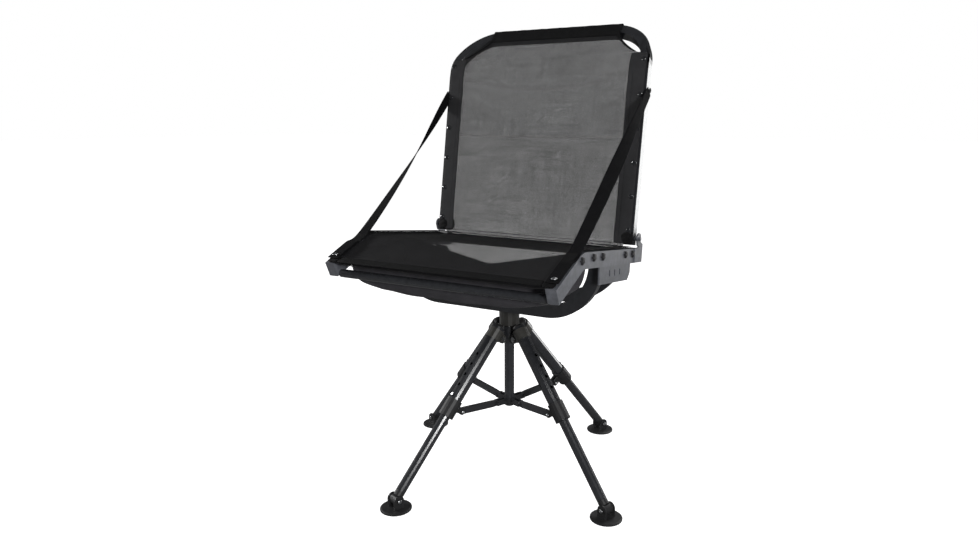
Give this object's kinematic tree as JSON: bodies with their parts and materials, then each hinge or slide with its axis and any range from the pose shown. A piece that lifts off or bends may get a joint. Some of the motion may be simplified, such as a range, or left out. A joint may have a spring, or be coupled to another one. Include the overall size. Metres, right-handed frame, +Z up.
{
  "type": "blind swivel chair",
  "caption": "Folding swivel blind chair: mesh seat and fold-down mesh back on a folding leg base with telescopic legs and tilting disc feet.",
  "frame": {"origin": "on the floor, on the swivel axis, at the bottom centre of the bounding box", "axes": "+Z up along the swivel axis; the seat faces -Y; +X is the sitter's left. Left and right in node names are as seen from the front, so l is -X and r is +X."},
  "size_m": [0.596, 0.596, 0.9395],
  "materials": {
    "black_steel": "black powder coat, semi-gloss",
    "grey_steel": "dark grey-brown coated steel, satin",
    "bright_steel": "bright metal, satin",
    "black_plastic": "moulded, slightly textured",
    "mesh_fabric": "open mesh, see-through",
    "pouch_fabric": "plain woven cloth",
    "webbing": "flat woven webbing"
  },
  "bodies": {
    "base": {"hub": "black_steel", "spindle": "bright_steel", "column_tube": "black_steel", "column_end_cap": "black_plastic", "hub_pin_fl": "bright_steel", "hub_pin_fr": "bright_steel", "hub_pin_br": "bright_steel", "hub_pin_bl": "bright_steel"},
    "spider": {"spider": "black_steel"},
    "leg_fl": {"upper_leg_fl": "black_steel", "leg_head_fl": "grey_steel", "leg_collar_fl": "black_plastic"},
    "lower_leg_fl": {"lower_leg_fl": "black_steel", "foot_knuckle_fl": "black_plastic"},
    "button_fl": {"snap_button_fl": "bright_steel"},
    "foot_fl": {"foot_pad_fl": "black_plastic"},
    "link_fl": {"link_fl": "black_steel"},
    "leg_fr": {"upper_leg_fr": "black_steel", "leg_head_fr": "grey_steel", "leg_collar_fr": "black_plastic"},
    "lower_leg_fr": {"lower_leg_fr": "black_steel", "foot_knuckle_fr": "black_plastic"},
    "button_fr": {"snap_button_fr": "bright_steel"},
    "foot_fr": {"foot_pad_fr": "black_plastic"},
    "link_fr": {"link_fr": "black_steel"},
    "leg_br": {"upper_leg_br": "black_steel", "leg_head_br": "grey_steel", "leg_collar_br": "black_plastic"},
    "lower_leg_br": {"lower_leg_br": "black_steel", "foot_knuckle_br": "black_plastic"},
    "button_br": {"snap_button_br": "bright_steel"},
    "foot_br": {"foot_pad_br": "black_plastic"},
    "link_br": {"link_br": "black_steel"},
    "leg_bl": {"upper_leg_bl": "black_steel", "leg_head_bl": "grey_steel", "leg_collar_bl": "black_plastic"},
    "lower_leg_bl": {"lower_leg_bl": "black_steel", "foot_knuckle_bl": "black_plastic"},
    "button_bl": {"snap_button_bl": "bright_steel"},
    "foot_bl": {"foot_pad_bl": "black_plastic"},
    "link_bl": {"link_bl": "black_steel"},
    "seat": {"swivel_housing": "grey_steel", "swivel_bush": "black_plastic", "swivel_plate": "black_steel", "front_u_tube": "black_steel", "rear_u_tube": "black_steel", "front_cross_tube": "black_steel", "rear_cross_tube": "black_steel", "side_rail_l": "black_steel", "side_rail_r": "black_steel", "side_plate_l": "black_steel", "side_plate_r": "black_steel", "hinge_bracket_l": "black_steel", "hinge_bracket_r": "black_steel", "seat_sling": "mesh_fabric", "seat_pouch": "pouch_fabric", "strap_l": "webbing", "strap_r": "webbing"},
    "back": {"back_frame": "black_steel", "back_sling": "mesh_fabric"}
  },
  "joints": [
    {"name": "swivel", "type": "hinge", "parent": "base", "child": "seat", "pos_m": [0, 0, 0.35], "axis": [0, 0, 1], "continuous": true},
    {"name": "back_fold", "type": "hinge", "parent": "seat", "child": "back", "pos_m": [0, 0.099, 0.505], "axis": [1, 0, 0], "range_deg": [0, 88], "deforming": ["strap_l", "strap_r"]},
    {"name": "leg_fold_fl", "type": "hinge", "parent": "base", "child": "leg_fl", "pos_m": [-0.00985, -0.02514, 0.294], "axis": [0.9311, -0.3649, 0], "range_deg": [0, 31.24]},
    {"name": "leg_fold_fr", "type": "hinge", "parent": "base", "child": "leg_fr", "pos_m": [0.02514, -0.00985, 0.294], "axis": [0.3649, 0.9311, 0], "range_deg": [0, 31.25]},
    {"name": "leg_fold_br", "type": "hinge", "parent": "base", "child": "leg_br", "pos_m": [0.00985, 0.02514, 0.294], "axis": [-0.9311, 0.3649, 0], "range_deg": [0, 31.25]},
    {"name": "leg_fold_bl", "type": "hinge", "parent": "base", "child": "leg_bl", "pos_m": [-0.02514, 0.00985, 0.294], "axis": [-0.3649, -0.9311, 0], "range_deg": [0, 31.25]},
    {"name": "link_hinge_fl", "type": "hinge", "parent": "leg_fl", "child": "link_fl", "pos_m": [-0.04733, -0.12078, 0.15943], "axis": [0.9311, -0.3649, 0], "range_deg": [0, 57.19]},
    {"name": "link_hinge_fr", "type": "hinge", "parent": "leg_fr", "child": "link_fr", "pos_m": [0.12078, -0.04733, 0.15943], "axis": [0.3649, 0.9311, 0], "range_deg": [0, 57.19]},
    {"name": "link_hinge_br", "type": "hinge", "parent": "leg_br", "child": "link_br", "pos_m": [0.04733, 0.12078, 0.15943], "axis": [-0.9311, 0.3649, 0], "range_deg": [0, 57.19]},
    {"name": "link_hinge_bl", "type": "hinge", "parent": "leg_bl", "child": "link_bl", "pos_m": [-0.12078, 0.04733, 0.15943], "axis": [-0.3649, -0.9311, 0], "range_deg": [0, 57.19]},
    {"name": "spider_slide", "type": "slide", "parent": "base", "child": "spider", "axis": [0, 0, 1], "range_m": [0, 0.0662]},
    {"name": "leg_retract_fl", "type": "slide", "parent": "leg_fl", "child": "lower_leg_fl", "axis": [0.2381, 0.6077, 0.7576], "range_m": [0, 0.096], "deforming": ["snap_button_fl"]},
    {"name": "leg_retract_fr", "type": "slide", "parent": "leg_fr", "child": "lower_leg_fr", "axis": [-0.6077, 0.2381, 0.7576], "range_m": [0, 0.096], "deforming": ["snap_button_fr"]},
    {"name": "leg_retract_br", "type": "slide", "parent": "leg_br", "child": "lower_leg_br", "axis": [-0.2381, -0.6077, 0.7576], "range_m": [0, 0.096], "deforming": ["snap_button_br"]},
    {"name": "leg_retract_bl", "type": "slide", "parent": "leg_bl", "child": "lower_leg_bl", "axis": [0.6077, -0.2381, 0.7576], "range_m": [0, 0.096], "deforming": ["snap_button_bl"]},
    {"name": "button_press_fl", "type": "slide", "parent": "lower_leg_fl", "child": "button_fl", "axis": [0.2764, 0.7054, -0.6527], "range_m": [0, 0.005], "stiffness_N_per_m": 400},
    {"name": "button_press_fr", "type": "slide", "parent": "lower_leg_fr", "child": "button_fr", "axis": [-0.7054, 0.2764, -0.6527], "range_m": [0, 0.005], "stiffness_N_per_m": 400},
    {"name": "button_press_br", "type": "slide", "parent": "lower_leg_br", "child": "button_br", "axis": [-0.2764, -0.7054, -0.6527], "range_m": [0, 0.005], "stiffness_N_per_m": 400},
    {"name": "button_press_bl", "type": "slide", "parent": "lower_leg_bl", "child": "button_bl", "axis": [0.7054, -0.2764, -0.6527], "range_m": [0, 0.005], "stiffness_N_per_m": 400},
    {"name": "foot_tilt_fl", "type": "hinge", "parent": "lower_leg_fl", "child": "foot_fl", "pos_m": [-0.10472, -0.26721, 0.019], "axis": [0.9311, -0.3649, 0], "range_deg": [-38, 38]},
    {"name": "foot_tilt_fr", "type": "hinge", "parent": "lower_leg_fr", "child": "foot_fr", "pos_m": [0.26721, -0.10472, 0.019], "axis": [0.3649, 0.9311, 0], "range_deg": [-38, 38]},
    {"name": "foot_tilt_br", "type": "hinge", "parent": "lower_leg_br", "child": "foot_br", "pos_m": [0.10472, 0.26721, 0.019], "axis": [-0.9311, 0.3649, 0], "range_deg": [-38, 38]},
    {"name": "foot_tilt_bl", "type": "hinge", "parent": "lower_leg_bl", "child": "foot_bl", "pos_m": [-0.26721, 0.10472, 0.019], "axis": [-0.3649, -0.9311, 0], "range_deg": [-38, 38]}
  ],
  "couplings": [
    {"joint": "leg_fold_fr", "follows": "leg_fold_fl", "ratio": 1},
    {"joint": "leg_fold_br", "follows": "leg_fold_fl", "ratio": 1},
    {"joint": "leg_fold_bl", "follows": "leg_fold_fl", "ratio": 1},
    {"joint": "link_hinge_fl", "follows": "leg_fold_fl", "ratio": 1.8297},
    {"joint": "link_hinge_fr", "follows": "leg_fold_fl", "ratio": 1.8297},
    {"joint": "link_hinge_br", "follows": "leg_fold_fl", "ratio": 1.8297},
    {"joint": "link_hinge_bl", "follows": "leg_fold_fl", "ratio": 1.8297},
    {"joint": "spider_slide", "follows": "leg_fold_fl", "m_per_rad": 0.12136}
  ]
}
